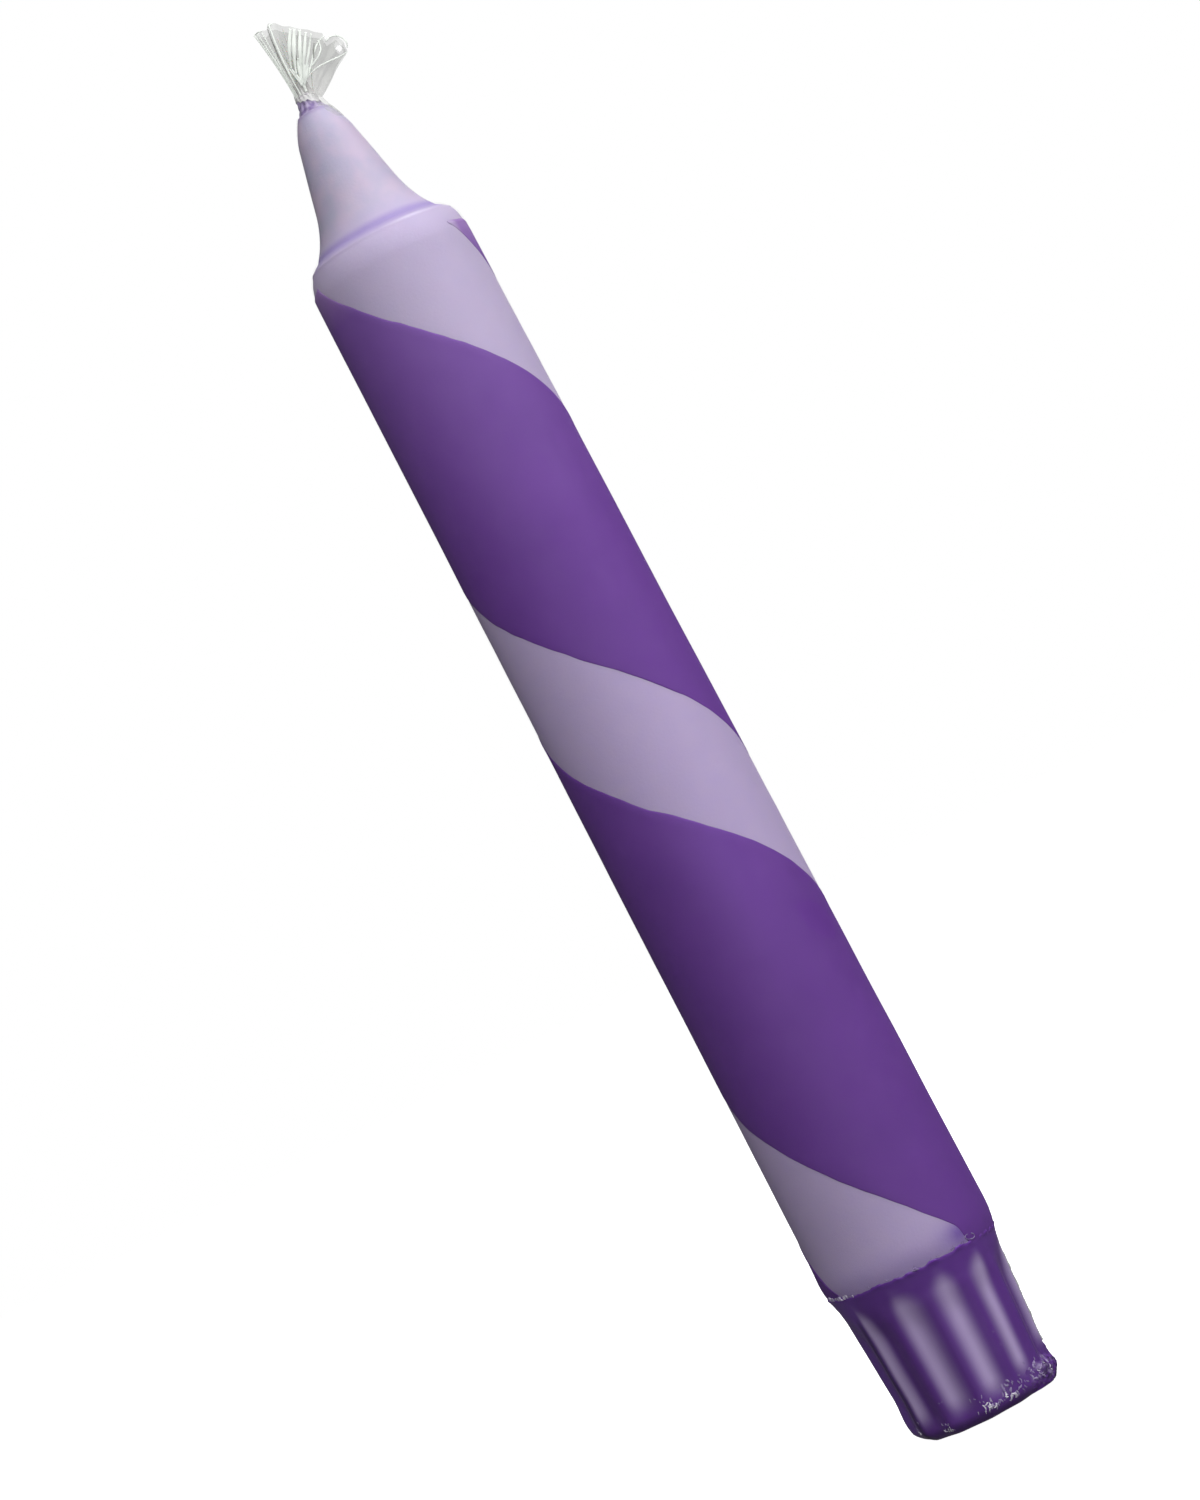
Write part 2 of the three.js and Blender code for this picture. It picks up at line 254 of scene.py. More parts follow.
def lathe(name, grid, material, node_slot, capped=(), looped=False):
    """Surface through rings of points, with a lid on the named rings, or looped back on its first ring."""
    rows, columns = grid.shape[:2]
    vertices = grid.reshape(-1, 3)
    faces = grid_faces(rows, columns, wrap_rows=looped)
    for row in capped:
        hub = len(vertices)
        vertices = np.vstack([vertices, grid[row].mean(axis=0)])
        ring = row % rows * columns
        for k in range(columns):
            edge = [ring + k, ring + (k + 1) % columns]
            faces.append([hub] + (edge[::-1] if row == 0 else edge))
    return make_object(name, vertices, faces, material, node_slot)


def tube(points, radii, sides, flat=1.0):
    """Vertices and faces of a closed tube along points, with a radius at each."""
    points = np.array(points, float)
    along = np.gradient(points, axis=0)
    along /= np.linalg.norm(along, axis=1)[:, None]
    across = np.cross(along, (0, 1, 0))
    across /= np.linalg.norm(across, axis=1)[:, None]
    depth = np.cross(along, across)
    angle = np.linspace(0, 2 * math.pi, sides, endpoint=False)
    turn = angle[None, :, None]
    ring = np.cos(turn) * across[:, None] + flat * np.sin(turn) * depth[:, None]
    rings = points[:, None] + ring * np.reshape(radii, (-1, 1, 1))
    vertices = np.vstack([rings.reshape(-1, 3), points[0], points[-1]])
    faces = grid_faces(len(points), sides)
    last = (len(points) - 1) * sides
    hub = len(vertices) - 2
    for k in range(sides):
        m = (k + 1) % sides
        faces.append([hub, m, k])
        faces.append([hub + 1, last + k, last + m])
    return vertices, faces


def mark(piece, name, values):
    """A number kept at each vertex for the piece's material, 0 on any vertex past the values given."""
    values = np.ravel(values)
    layer = piece.data.attributes.new(name, "FLOAT", "POINT")
    padded = np.zeros(len(piece.data.vertices))
    padded[:len(values)] = values[:len(padded)]
    layer.data.foreach_set("value", padded)


def join(parts):
    """One set of vertices and faces from several."""
    vertices, faces, start = [], [], 0
    for points, polygons in parts:
        vertices.append(points)
        faces += [[index + start for index in polygon] for polygon in polygons]
        start += len(points)
    return np.vstack(vertices), faces


# Materials
def srgb(r, g, b):
    """Linear colour from 0 to 255 screen values."""
    def linear(value):
        value /= 255
        return value / 12.92 if value <= 0.04045 else ((value + 0.055) / 1.055) ** 2.4
    return tuple(linear(value) for value in (r, g, b)) + (1,)


class Nodes:
    """A material's nodes, added and linked in one line each."""

    def __init__(self, name):
        self.material = bpy.data.materials.new(name)
        self.material.use_nodes = True
        self.tree = self.material.node_tree
        self.shader = self.tree.nodes["Principled BSDF"]

    def feed(self, node, inputs):
        """Each input set to a value, or linked to another node's output."""
        for name, value in inputs.items():
            if isinstance(value, bpy.types.NodeSocket):
                self.tree.links.new(value, node.inputs[name])
            else:
                node.inputs[name].default_value = value

    def add(self, kind, inputs, **values):
        """The outputs of a new node."""
        node = self.tree.nodes.new("ShaderNode" + kind)
        for name, value in values.items():
            setattr(node, name, value)
        self.feed(node, inputs)
        return node.outputs

    def set(self, **inputs):
        """Inputs of the material's own shader, with _ for a space."""
        self.feed(self.shader, {name.replace("_", " "): value for name, value in inputs.items()})

    def spot(self):
        """The point that is shaded, in metres."""
        return self.add("TexCoord", {})["Object"]

    def noise(self, scale, detail):
        inputs = {"Vector": self.spot(), "Scale": scale, "Detail": detail, "Roughness": 0.55}
        return self.add("TexNoise", inputs)["Fac"]

    def span(self, value, low, high, to_low=0.0, to_high=1.0):
        """The value's way from low to high, mapped from to_low to to_high and held at both ends."""
        inputs = {"Value": value, "From Min": low, "From Max": high, "To Min": to_low, "To Max": to_high}
        return self.add("MapRange", inputs)["Result"]

    def fade(self, place, start, end, share=1.0):
        """0 up to one place and a share from another on, both in millimetres."""
        return self.span(place, start * MM, end * MM, 0, share)

    def mix(self, share, a, b):
        """Colour a, with a share of colour b."""
        return self.add("Mix", {0: share, 6: a, 7: b}, data_type="RGBA")[2]

    def tint(self, colour, share, mask, shade):
        """The colour, with a share of a shade where the mask is 1."""
        return self.mix(self.span(mask, 0, 1, 0, share), colour, shade)

    def product(self, a, b):
        return self.add("Math", {0: a, 1: b}, operation="MULTIPLY")[0]

    def place(self, axis):
        """One coordinate of the point that is shaded."""
        return self.add("SeparateXYZ", {"Vector": self.spot()})[axis]

    def slope(self, factor, other):
        """X times a factor, plus another coordinate."""
        inputs = {0: self.place("X"), 1: factor, 2: self.place(other)}
        return self.add("Math", inputs, operation="MULTIPLY_ADD")[0]

    def marked(self, name):
        """What mark() has kept at the vertices."""
        return self.add("Attribute", {}, attribute_name=name)["Fac"]

    def band(self, place, low, high, soft):
        """1 between two places and 0 past a soft border on either side, in millimetres."""
        above = self.fade(place, low - soft, low + soft)
        return self.product(above, self.fade(place, high + soft, high - soft))

    def bump(self, sources):
        """Bumps from (height, strength, depth in millimetres) added one on another."""
        below = None
        for value, strength, depth in sources:
            inputs = {"Height": value, "Strength": strength, "Distance": depth * MM}
            if below:
                inputs["Normal"] = below
            below = self.add("Bump", inputs)["Normal"]
        self.set(Normal=below)


# Colours that the materials mix in
LOW_LILAC = srgb(178, 160, 204)
PINK_CLOUD = srgb(190, 170, 200)
CREASE_SHADE = srgb(152, 136, 192)
RIM_SHEEN = srgb(228, 222, 240)
DIP_STAIN = srgb(104, 60, 168)
TIP_BLUE = srgb(173, 169, 194)
TIP_PINK = srgb(189, 175, 198)
TIP_END = srgb(140, 122, 172)
COAT_PAINTED_SHEEN = srgb(144, 90, 205)
THIN_COAT_AND_SHEEN = srgb(160, 130, 196)
THINNEST_COAT = srgb(174, 142, 198)
COAT_POINT = srgb(186, 170, 206)
DIP_SHOULDER = srgb(140, 80, 205)
DIP_LEFT_SHEEN = srgb(124, 72, 186)
DIP_SHADE = srgb(42, 16, 70)
FLUTE_HAZE_AND_SHEEN = srgb(204, 186, 228)
NECK_CRINKLE_AND_SHADE = srgb(112, 90, 146)
NECK_WAX = srgb(176, 168, 188)
NECK_END = srgb(196, 191, 199)
BUNCHED_SHADE = srgb(40, 24, 62)
BUNCHED_GLINT = srgb(150, 132, 174)
FILM_HAZE = srgb(245, 248, 245)
FILM_THROAT = srgb(208, 208, 204)


def wax_material(name, pale, deep, rough, scatter, grain, gloss, accent):
    """Wax: two close tones in soft clouds, a fine grain, and light that scatters under the surface."""
    nodes = Nodes(name)
    clouds = nodes.noise(90, 3)
    colour = nodes.mix(nodes.span(clouds, 0.3, 0.7), pale, deep)
    patches = nodes.span(nodes.noise(160, 4), 0.3, 0.7, rough - 0.05, rough + 0.05)
    nodes.set(Base_Color=accent(nodes, colour), Roughness=patches)
    nodes.bump([(clouds, 0.25, 0.3), (nodes.noise(2600, 2), grain, 0.03)])
    nodes.set(Subsurface_Weight=scatter, Subsurface_Radius=(1.0, 0.8, 1.2), Subsurface_Scale=1.2 * MM)
    nodes.set(Specular_IOR_Level=gloss, IOR=1.44)
    return nodes.material


def crease_tint(nodes, colour):
    """Deeper lilac low down, pinker and bluer clouds, a line of painted shade in the crease under the tip and
    a painted highlight on the rim below it.
    """
    height = nodes.place("Z")
    crease = CREASE[1]
    colour = nodes.mix(nodes.fade(height, BODY_TOP[1], 100, 0.8), colour, LOW_LILAC)
    clouds = nodes.span(nodes.noise(560, 3), 0.35, 0.7, 0, 0.24)
    colour = nodes.mix(clouds, colour, PINK_CLOUD)
    # Painted shade in the crease under the tip
    colour = nodes.tint(colour, 0.85, nodes.band(height, crease - 0.4, crease + 0.85, 0.42), CREASE_SHADE)
    # Painted highlight on the rim below the crease, on its right side
    rim = nodes.band(height, crease - 0.95, crease - 0.65, 0.2)
    right = nodes.band(nodes.place("X"), 2.5, 7, 1.6)
    colour = nodes.tint(colour, 0.5, nodes.product(rim, right), RIM_SHEEN)
    colour = nodes.tint(colour, 1, nodes.marked("stain"), DIP_STAIN)
    tip = nodes.mix(nodes.span(nodes.noise(260, 3), 0.4, 0.62), TIP_BLUE, TIP_PINK)
    tip = nodes.mix(clouds, tip, PINK_CLOUD)
    colour = nodes.mix(nodes.fade(height, 163, 166), colour, tip)
    return nodes.mix(nodes.fade(height, 179.3, 179.95, 0.6), colour, TIP_END)


def thin_coat_and_sheen(nodes, colour):
    """Paler high up, where the coat is thin and with painted sheen, paler at its point, and a painted soft
    highlight on its front.
    """
    height = nodes.place("Z")
    # Painted soft highlight on the coat's front, right of the middle
    sheen = nodes.product(nodes.band(height, 66, 84, 12), nodes.band(nodes.place("X"), -0.5, 5.5, 3.5))
    colour = nodes.tint(colour, 0.22, sheen, COAT_PAINTED_SHEEN)
    # Paler high up, partly where the coat is thin and partly painted sheen
    colour = nodes.mix(nodes.fade(height, 118, BODY_TOP[1], 0.2), colour, THIN_COAT_AND_SHEEN)
    colour = nodes.mix(nodes.fade(height, 154, 160, 0.62), colour, THINNEST_COAT)
    point = nodes.product(nodes.fade(height, 156, 158), nodes.fade(nodes.slope(-0.6, "Y"), -10.4, -11.2))
    return nodes.tint(colour, 0.75, point, COAT_POINT)


def flute_haze_and_sheen(nodes, colour):
    """Streaks in the flutes' hollows, partly haze where the film stands off the dip and partly painted sheen,
    painted sheen at the far left, and a painted shade line beside one.
    """
    colour = nodes.tint(colour, 0.2, nodes.band(nodes.place("Z"), 17.5, 22, 1.5), DIP_SHOULDER)
    # Painted sheen that lightens the dip's far left edge
    colour = nodes.mix(nodes.fade(nodes.place("X"), -8.3, -9.3, 0.5), colour, DIP_LEFT_SHEEN)
    # A line of painted shade beside the leftmost streak
    colour = nodes.tint(colour, 0.8, nodes.marked("shade"), DIP_SHADE)
    # Pale streaks in the hollows, partly film haze and partly painted sheen
    return nodes.tint(colour, 0.78, nodes.marked("hollow"), FLUTE_HAZE_AND_SHEEN)


def crumpled(nodes, colour):
    """Painted glints and painted shade in the folds of bunched film over the dip."""
    bunch = nodes.marked("bunch")
    # Painted shade and painted glints in the bunched folds
    dark = nodes.product(nodes.span(nodes.noise(900, 2), 0.5, 0.62, 0, 0.75), bunch)
    pale = nodes.product(nodes.span(nodes.noise(1300, 3), 0.52, 0.68, 0, 0.9), bunch)
    return nodes.mix(pale, nodes.mix(dark, colour, BUNCHED_SHADE), BUNCHED_GLINT)


def neck_tint(nodes, colour):
    """Lilac on the right, where the tip's wax runs up, dark at the lower left, crinkled in between, and
    painted shade in the folds' hollows.
    """
    crinkles = nodes.span(nodes.noise(1300, 3), 0.46, 0.62, 0, 0.7)
    colour = nodes.mix(crinkles, colour, NECK_CRINKLE_AND_SHADE)
    # Painted shade in the hollows of the neck's folds
    colour = nodes.mix(nodes.span(nodes.marked("hollow"), 0.5, 1.0, 0, 0.4), colour, NECK_CRINKLE_AND_SHADE)
    colour = nodes.mix(nodes.fade(nodes.slope(-0.35, "Z"), 180.1, 179.5), colour, NECK_WAX)
    return nodes.mix(nodes.fade(nodes.place("Z"), 181.7, 182.1), colour, NECK_END)


LILAC = wax_material("lilac_wax", srgb(186, 174, 204), srgb(179, 167, 200), 0.6, 0.35, 0.8, 0.35, crease_tint)
PURPLE = wax_material("purple_wax", srgb(104, 52, 150), srgb(98, 47, 144), 0.6, 0.2, 0.3, 0.35, thin_coat_and_sheen)
DARK = wax_material("dark_wax", srgb(92, 43, 137), srgb(86, 38, 130), 0.35, 0.15, 0.15, 0.4, flute_haze_and_sheen)
NECK = wax_material("neck_wax", srgb(174, 162, 190), srgb(156, 143, 178), 0.45, 0.3, 0.4, 0.4, neck_tint)
BUNCHED_FILM = wax_material(
    "bunched_film", srgb(96, 52, 140), srgb(84, 44, 124), 0.3, 0.1, 1.0, 0.5, crumpled
)


def pale_throat(nodes, colour):
    """The gathered film is paler low down and on the left, where its folds press together."""
    return nodes.mix(nodes.fade(nodes.slope(0.9, "Z"), 188.6, 183.6, 0.9), colour, FILM_THROAT)


def film_material(name, colour, alpha, rough, bumpy=0.4, glow=0.0, accent=None):
    """Film: a see-through tone with soft haze, which may have fine bumps, a slight painted glow or an accent.
    """
    nodes = Nodes(name)
    haze = nodes.span(nodes.noise(500, 2), 0.35, 0.8, 0, 0.3)
    tint = nodes.mix(haze, colour, FILM_HAZE)
    if accent:
        tint = accent(nodes, tint)
    if bumpy:
        nodes.bump([(nodes.noise(420, 3), bumpy, 0.15)])
    nodes.set(Base_Color=tint, Alpha=alpha, Roughness=rough, IOR=1.49)
    # A glow is painted light from the film itself, not a lamp
    if glow:
        nodes.set(Emission_Color=colour, Emission_Strength=glow)
    return nodes.material


SLEEVE_FILM = film_material("clear_film", srgb(170, 172, 170), 0.02, 0.18)
SCRAP_FILM = film_material("scrap_film", srgb(158, 136, 190), 0.75, 0.25)
# Pale film for the rim's flecks and some crumbs, painted as glints
GLINT_FILM = film_material("glint_film", srgb(226, 218, 238), 0.9, 0.25)
SEAM_FILM = film_material("seam_film", srgb(190, 194, 190), 0.85, 0.25)
NECK_FILM = film_material("neck_film", srgb(205, 206, 202), 0.22, 0.25)
TUFT_FILM = film_material("gathered_film", srgb(134, 137, 130), 0.36, 0.4, bumpy=0, accent=pale_throat)
# The creases' pale strands carry a painted highlight and a painted glow
CREASED_FILM = film_material("creased_film", srgb(229, 234, 228), 0.9, 0.6, bumpy=0, glow=0.11)
THROAT_FILM = film_material("throat_film", srgb(206, 204, 205), 0.88, 0.5, bumpy=0)
# Dark film for strips of painted shadow along the folds
FOLD_SHADOW_FILM = film_material("folded_film", srgb(140, 143, 137), 0.8, 0.5, bumpy=0, accent=pale_throat)


def cotton_material():
    nodes = Nodes("wick_cotton")
    fibres = nodes.noise(3000, 3)
    nodes.set(Base_Color=nodes.mix(fibres, srgb(232, 232, 224), srgb(252, 252, 248)))
    nodes.bump([(fibres, 0.6, 0.05)])
    nodes.set(Roughness=0.85, Subsurface_Weight=0.2, Subsurface_Scale=0.5 * MM)
    return nodes.material


COTTON = cotton_material()


# Pieces
ANGLES = np.linspace(0, 2 * math.pi, TURN_STEPS, endpoint=False)


def away_from(angle, turn):
    """How far each angle lies from a turn in degrees, the short way round, in radians."""
    return (angle - math.radians(turn) + math.pi) % (2 * math.pi) - math.pi


def hump(value, centre, spread):
    """1 at the centre, fading to 0 on both sides of it."""
    return np.exp(-(((value - centre) / spread) ** 2))


def stand_out(z, angle):
    """How far the foot's left, the body's heel and the shoulder's right stand out, and the rim stands in."""
    left = hump(away_from(angle, -85), 0, 0.5)
    foot = (0.28 * smooth((6.5 - z) / 3.5) * smooth((z - 0.4) / 2.6) + 0.1 * smooth((19.5 - z) / 2)) * left
    heel = (0.1 - 0.07 * np.sin(angle)) * hump(z, 21.8, 2.6)
    shoulder = 0.3 * hump(z, 161.2, 1.3) * hump(away_from(angle, 90), 0, 0.5)
    rim = 0.33 * smooth((1.7 - z) / 1.6) * (0.55 - 0.45 * np.sin(angle))
    return foot + heel + shoulder - rim


def ring_grid(outline, extra, angles=ANGLES):
    """Rings of points on an outline, with the flutes cut in and something extra for each height and angle."""
    z = outline[:, 1][:, None]
    angle = angles[None, :]
    radius = outline[:, 0][:, None] - flute_cut(z, angle) + stand_out(z, angle) + extra(z, angle)
    return on_candle(radius, angle, z)


def wax_lift(z):
    """How far the bare wax stands out of the core, so that the stripe is nearly level with the coat."""
    bare = np.clip((z - COAT_TOP + 1) / 4, 0, 1)
    covered = np.clip((z - DIP_LINE + 2) / 1.5, 0, 1)
    return covered * (STRIPE_LIFT + (TIP_LIFT - STRIPE_LIFT) * bare)


def bow(z, angle):
    """The slight unevenness of the cast wax, which its coat follows."""
    return 0.03 * uneven(z, angle, 24, 1)


def stain_at(z, angle):
    """How much the dip tints the bare wax above it, most at the stripe's right end."""
    turn, height = STAIN
    corner = np.exp(-(((away_from(angle, turn) * DIP_RADIUS) / 1.9) ** 2 + ((z - height) / 1.5) ** 2))
    return 0.25 * smooth((DIP_LINE + 4.5 - z) / 4.5) + 0.6 * corner


def add_wax_body():
    """The cast wax, with its bore."""
    def extra(z, angle):
        groove = 0.12 * hump(z, CREASE[1] + 0.1, 0.4)
        rim = 0.13 * hump(z, CREASE[1] - 0.8, 0.24)
        return wax_lift(z) + bow(z, angle) + 0.008 * uneven(z, angle, 5, 2) - groove + rim

    grid = ring_grid(WAX, extra)
    bore = [on_candle(BORE_RADIUS, ANGLES, height) for height in (BASE_LEVEL, CANDLE_HEIGHT)]
    piece = lathe("wax_candle", np.concatenate([grid, np.array(bore)]), LILAC, "lilac_wax", looped=True)
    mark(piece, "stain", stain_at(grid[..., 2], ANGLES))
    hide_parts("wax_body")


def upper_edge(turns):
    """Height of the dark coat's upper edge, by turns from the front towards +X."""
    sway = 0.4 * np.sin(2 * math.pi * turns)
    stretch = UPPER_EDGE_STRETCH * np.maximum(0, turns - 1) ** 2
    return UPPER_EDGE_AT_FRONT - SPIRAL_LEAD * turns + sway - stretch


def lower_edge(turns):
    """Height of its lower edge, a little raised where the coat starts in a blunt point."""
    start = 0.5 * smooth((-0.79 - turns) / 0.06)
    stretch = LOWER_EDGE_STRETCH * np.maximum(0, turns) ** 2
    return LOWER_EDGE_AT_FRONT - SPIRAL_LEAD * turns - stretch + start


# The dark coat's first and last turn, its least height, the width of its lip, and where the lip's rows lie,
# by their share of that width and their height
COAT_TURNS = (-0.853, 1.86)
LEAST_COAT = 0.12
LIP = 0.35
LIP_SHARES = np.array([0.0, 0.0, 0.12, 0.35, 0.65, 1.0])
LIP_LIFTS = np.array([0.02, 0.12, 0.2, 0.25, 0.28, COAT_LIFT])


def coat_edges():
    """Angles along the dark coat, with the height of its ragged upper and lower edge at each."""
    first, last = COAT_TURNS
    turns = np.linspace(first, last, int((last - first) * TURN_STEPS))
    angle = turns * 2 * math.pi
    height = upper_edge(turns)
    dip = dip_line(angle)
    ragged = 0.10 * uneven(height, angle, 9, 11) + 0.045 * uneven(height, angle, 2.2, 12)
    ragged_low = 0.10 * uneven(height, angle, 9, 13) + 0.05 * uneven(height, angle, 2.0, 14)
    rise = 0.25 * smooth((turns - first) / 0.06) + 0.6 * smooth((turns - first - 0.1) / 0.4)
    shoulder = COAT_TOP - 0.2 + rise - 0.9 * hump(turns, -0.25, 0.08)
    top = np.minimum(height + ragged, shoulder + 0.06 * uneven(height, angle, 4, 15))
    above = lower_edge(turns) - dip
    low = np.maximum(lower_edge(turns) + ragged_low - 1.5 * smooth((2.2 - above) / 0.9), dip - 0.7)
    keep = top - low > LEAST_COAT
    return angle[keep], top[keep], low[keep]


def add_spiral_coat():
    """The dark coat as a strip along the spiral, rounded down at its edges."""
    angle, top, low = coat_edges()
    edge = np.minimum(LIP, (top - low)[:, None] / 3)
    z_low = low[:, None] + LIP_SHARES[None, :] * edge
    z_top = top[:, None] - LIP_SHARES[None, ::-1] * edge
    inside = np.linspace(0, 1, 40)[1:-1]
    z_in = z_low[:, -1:] + (z_top[:, :1] - z_low[:, -1:]) * inside[None, :]
    z = np.hstack([z_low, z_in, z_top])
    lift = np.hstack([
        np.broadcast_to(LIP_LIFTS, z_low.shape),
        np.full(z_in.shape, COAT_LIFT),
        np.broadcast_to(LIP_LIFTS[::-1], z_top.shape),
    ])
    columns = angle[:, None] + 0 * z
    lift = lift + 0.015 * uneven(z, columns, 14, 16) * (lift > 0.2)
    lip_line = 0.04 * hump(top[:, None] - z, 0.4, 0.25)
    radius = radius_on(WAX, z) + lift + lip_line + bow(z, columns) + stand_out(z, columns)
    grid = on_candle(radius, columns, z)
    piece = lathe("spiral_coat_skin", grid, PURPLE, "purple_wax", capped=(0, len(grid) - 1))
    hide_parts("spiral_coat")


def dip_line(angle):
    """Height of the dip's upper edge, a little higher on the left."""
    wavy = 0.1 * uneven(DIP_LINE, angle, 7, 21) + 0.06 * uneven(DIP_LINE, angle, 1.6, 22)
    return DIP_LINE - DIP_TILT * np.sin(angle) + wavy


# Painted sheen down the flutes, by the turn where each streak is brightest and its reach to the left and
# right, in degrees, the height where it fades out, and its strength
STREAKS = (
    (-56.5, 3.5, 12, 3.2, 0.95),
    (-22, 9, 18, 3.2, 0.88),
    (11, 13, 12, 3.2, 0.9),
    (42.5, 15, 8, 3.6, 0.9),
    (89, 18, 12, 5, 1),
    *((math.degrees(FLUTE_TURN) + 30 * flute, 12, 12, 3.2, 0.9) for flute in range(3, 9)),
)

# A line of painted shade beside the leftmost streak, by its turn and half width in degrees
SHADED_LINE = (-62, 4.5)

# How many beads the dip's edge has, their smallest and largest size, and how far the skin's first rows lie
# below the edge and out of the wax
DIP_BEADS = 70
BEAD_SIZES = (0.12, 0.3)
EDGE_ROWS = ((0.0, 0.0), (0.0, 0.15), (0.03, 0.22), (0.12, 0.28), (0.3, 0.32), (0.55, 0.31), (0.8, 0.29))


def streaks_at(z, angle):
    """1 where a streak is brightest, and 0 between them and past their ends."""
    share = np.zeros(np.broadcast_shapes(z.shape, angle.shape))
    for turn, left, right, end, strength in STREAKS:
        away = np.degrees(away_from(angle, turn))
        across = smooth(1 - np.abs(away) / np.where(away < 0, left, right))
        arch = smooth((STREAK_TOP - z) / 2.6 - 0.35 * (1 - across))
        share = np.maximum(share, strength * across * arch * smooth((z - end + 1.5) / 3))
    return share


def edge_beads():
    """How far the beads of the dip's edge stand out, at each of the angles."""
    draw = np.random.RandomState(5)
    centres = draw.uniform(0, 2 * math.pi, DIP_BEADS)
    sizes = draw.uniform(*BEAD_SIZES, DIP_BEADS)
    away = np.abs((ANGLES[:, None] - centres[None, :] + math.pi) % (2 * math.pi) - math.pi) * DIP_RADIUS
    return (sizes * hump(away, 0, sizes)).max(axis=1)


def add_foot_coat():
    """The dip over the foot, with a beaded upper edge."""
    beads = edge_beads()
    edge = dip_line(ANGLES) + 0.5 * beads
    rows = []
    for drop, lift in EDGE_ROWS:
        z = edge - drop
        swell = beads * (0.5 if drop <= 0.4 and lift > 0.2 else 0.0)
        radius = radius_on(WAX, z) + lift + swell - flute_cut(z, ANGLES) + stand_out(z, ANGLES)
        rows.append(on_candle(radius, ANGLES, z))
    base = offset(WAX, COAT_LIFT)
    base = base[(base[:, 1] < DIP_LINE - 1.6) & (base[:, 1] > 0.06)]
    skin = ring_grid(base, lambda z, angle: 0.02 * uneven(z, angle, 6, 23))
    grid = np.concatenate([np.array(rows), skin])
    piece = lathe("foot_dip_skin", grid, DARK, "dark_wax", capped=(len(grid) - 1,))
    z = grid[..., 2]
    # The streaks of film haze and painted sheen
    mark(piece, "hollow", streaks_at(z, ANGLES))
    turn, half_width = SHADED_LINE
    dark = 1 - np.abs(np.degrees(away_from(ANGLES, turn))) / half_width
    mark(piece, "shade", smooth(dark) * smooth((18.6 - z) / 2.5))
    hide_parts("foot_coat")


def collar_radius(z):
    """Radius of the waxed neck, flared onto the tip."""
    share = np.clip((z - CANDLE_HEIGHT + COLLAR_SINK) / (COLLAR_HEIGHT + COLLAR_SINK), 0, 1)
    return COLLAR_RADIUS + COLLAR_SPREAD * (1 - share) ** COLLAR_FLARE


def add_collar():
    """Waxed neck, flared onto the tip and drawn into tight folds round the wick."""
    share = np.linspace(0, 1, 40)[:, None]
    angle = ANGLES[None, :]
    wide = np.cos(7 * angle + 3.6 * share + 1.6 * np.sin(2 * angle))
    narrow = np.cos(12 * angle - 6 * share + 2 * np.sin(angle))
    fold = wide + 0.7 * narrow
    depth = 0.055 * np.minimum(1, 4 * share) * (0.6 + 0.6 * share)
    z = CANDLE_HEIGHT - COLLAR_SINK + (COLLAR_HEIGHT + COLLAR_SINK) * share + 0 * angle
    points = on_candle(collar_radius(z), angle, z)
    grid = on_candle(collar_radius(z) + depth * fold + 0.045 * ripple(points, 0.8, 51), angle, z)
    levels = (CANDLE_HEIGHT + COLLAR_HEIGHT, CANDLE_HEIGHT - 0.1)
    bore = [on_candle(COLLAR_BORE_RADIUS, ANGLES, level) for level in levels]
    piece = lathe("neck_collar", np.concatenate([grid, np.array(bore)]), NECK, "purple_wax", looped=True)
    # The folds' hollows, where the neck is painted with shade
    mark(piece, "hollow", np.clip(0.5 - 0.5 * fold, 0, 1) * np.minimum(1, 3 * share))
    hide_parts("wick_collar")


def add_film_sleeve():
    """Clear film from the base round to the neck, drawn tight on the body and crinkled at the foot's rim."""
    bare = smooth((WAX[:, 1] - COAT_TOP) / 4.85)
    lie = BASE_LEVEL * (1 - bare) + FILM_GAP

    def crinkle(z, angle):
        rim = np.clip((5.0 - z) / 4.0, 0, 1)
        neck = np.clip((z - 176.5) / 3.0, 0, 1)
        tail = hump(angle, math.radians(65), 0.2) * np.clip((4.2 - z) / 2, 0, 1)
        rough = 0.5 + 0.5 * uneven(z, angle, 1.5, 31)
        return (0.16 * rim + 0.1 * neck) * rough + 0.5 * tail * (1 + 0.3 * uneven(z, angle, 1.0, 32))

    def skin(extra):
        outline = offset(WAX, lie + extra)
        return ring_grid(outline[outline[:, 1] > FILM_FLOOR], crinkle)

    grid = np.concatenate([skin(FILM), skin(0.0)[::-1]])
    piece = lathe("film_wrap", grid, SLEEVE_FILM, "clear_film", looped=True)
    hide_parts("film_sleeve")
    return piece


# Ribs of the gathered film's front, each by its foot, its middle and its tip, in x and z
TUFT_RIBS = (
    (-1.05, 182.2, -1.3, 187.3, -2.05, 192.0),
    (-0.85, 182.3, -1.0, 187.2, -1.1, 191.85),
    (-0.6, 182.4, -0.7, 187.0, -0.3, 191.8),
    (-0.4, 182.5, -0.3, 187.5, 0.2, 192.2),
    (-0.15, 182.5, 0.3, 187.5, 0.95, 191.95),
    (0.1, 182.5, 0.9, 187.0, 2.35, 190.6),
    (0.35, 182.4, 1.6, 187.0, 3.35, 189.8),
    (0.6, 182.3, 2.3, 186.6, 4.3, 189.05),
    (0.8, 182.1, 3.1, 185.8, 5.6, 188.0),
    (1.0, 181.9, 3.6, 185.0, 5.5, 187.05),
    (1.15, 181.9, 4.2, 184.9, 6.9, 187.15),
    (1.3, 181.8, 4.6, 184.5, 7.5, 185.7),
    (1.4, 181.75, 4.5, 184.0, 7.3, 184.65),
    (1.94, 181.25, 3.75, 182.45, 5.5, 183.93),
)
